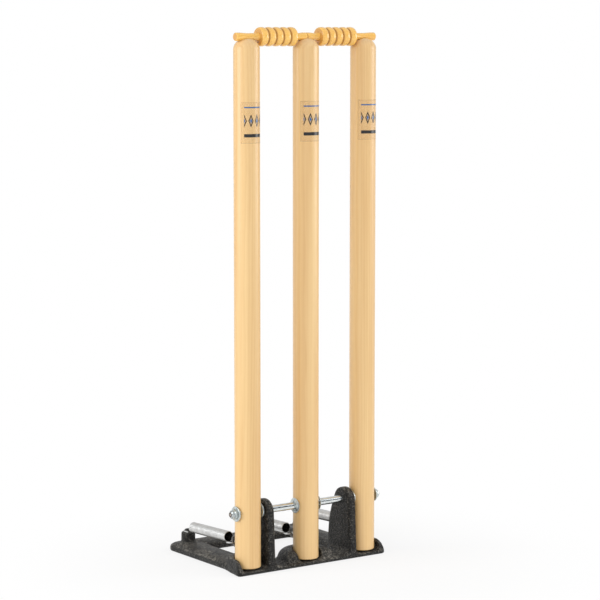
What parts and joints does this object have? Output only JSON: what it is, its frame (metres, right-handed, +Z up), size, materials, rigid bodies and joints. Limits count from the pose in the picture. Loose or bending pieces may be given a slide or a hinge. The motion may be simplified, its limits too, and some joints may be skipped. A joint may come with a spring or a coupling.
{
  "type": "cricket stumps",
  "caption": "Cricket stumps hinged on a steel rod over a cast iron base, each pulled upright by a spring behind it, with turned bails lying in the stump tops.",
  "frame": {"origin": "on the ground, on the underside of the base, directly under the axis of the middle stump", "axes": "+Z up along the stumps, +X along the row from the left stump to the right stump as the bowler sees them, +Y to the rear, where the springs are"},
  "size_m": [0.2468, 0.1955, 0.7254],
  "materials": {
    "base_enamel": "black enamel over rough cast iron",
    "stump_wood": "pale straight-grained ash, satin varnish",
    "bail_wood": "turned ash, gloss varnish",
    "zinc_steel": "bright zinc plate",
    "spring_steel": "bright plated spring wire",
    "eye_steel": "dark steel",
    "label_film": null
  },
  "bodies": {
    "base": {"base_casting": "base_enamel", "axle_rod": "zinc_steel", "axle_nut_left": "zinc_steel", "axle_nut_right": "zinc_steel", "outer_washer_left": "zinc_steel", "outer_washer_right": "zinc_steel", "ear_washer_left": "zinc_steel", "ear_washer_right": "zinc_steel", "retaining_washer_left": "zinc_steel", "retaining_washer_right": "zinc_steel"},
    "left_stump": {"stump_left": "stump_wood", "screw_eye_left": "eye_steel", "label_left": "label_film"},
    "middle_stump": {"stump_middle": "stump_wood", "screw_eye_middle": "eye_steel", "label_middle": "label_film"},
    "right_stump": {"stump_right": "stump_wood", "screw_eye_right": "eye_steel", "label_right": "label_film"},
    "left_spring": {"spring_left": "spring_steel"},
    "middle_spring": {"spring_middle": "spring_steel"},
    "right_spring": {"spring_right": "spring_steel"},
    "left_bail": {"bail_left": "bail_wood"},
    "right_bail": {"bail_right": "bail_wood"}
  },
  "joints": [
    {"name": "left_stump_tilt", "type": "hinge", "parent": "base", "child": "left_stump", "pos_m": [-0.095, 0, 0.0815], "axis": [-1, 0, 0], "range_deg": [0, 50], "stiffness_Nm_per_rad": 2.6, "springref_deg": -34.38, "deforming": ["spring_left"]},
    {"name": "middle_stump_tilt", "type": "hinge", "parent": "base", "child": "middle_stump", "pos_m": [0, 0, 0.0815], "axis": [-1, 0, 0], "range_deg": [0, 50], "stiffness_Nm_per_rad": 2.6, "springref_deg": -34.38, "deforming": ["spring_middle"]},
    {"name": "right_stump_tilt", "type": "hinge", "parent": "base", "child": "right_stump", "pos_m": [0.095, 0, 0.0815], "axis": [-1, 0, 0], "range_deg": [0, 50], "stiffness_Nm_per_rad": 2.6, "springref_deg": -34.38, "deforming": ["spring_right"]},
    {"name": "left_spring_stretch", "type": "slide", "parent": "base", "child": "left_spring", "axis": [0, -0.987, -0.1608], "range_m": [0, 0.0456], "deforming": ["spring_left"]},
    {"name": "middle_spring_stretch", "type": "slide", "parent": "base", "child": "middle_spring", "axis": [0, -0.987, -0.1608], "range_m": [0, 0.0456], "deforming": ["spring_middle"]},
    {"name": "right_spring_stretch", "type": "slide", "parent": "base", "child": "right_spring", "axis": [0, -0.987, -0.1608], "range_m": [0, 0.0456], "deforming": ["spring_right"]},
    {"name": "left_bail_lift", "type": "slide", "parent": "left_stump", "child": "left_bail", "axis": [0, 0, 1], "range_m": [0, 0.06]},
    {"name": "right_bail_lift", "type": "slide", "parent": "right_stump", "child": "right_bail", "axis": [0, 0, 1], "range_m": [0, 0.06]}
  ],
  "couplings": [
    {"joint": "left_spring_stretch", "follows": "left_stump_tilt", "m_per_rad": 0.052144},
    {"joint": "middle_spring_stretch", "follows": "middle_stump_tilt", "m_per_rad": 0.052144},
    {"joint": "right_spring_stretch", "follows": "right_stump_tilt", "m_per_rad": 0.052144}
  ]
}
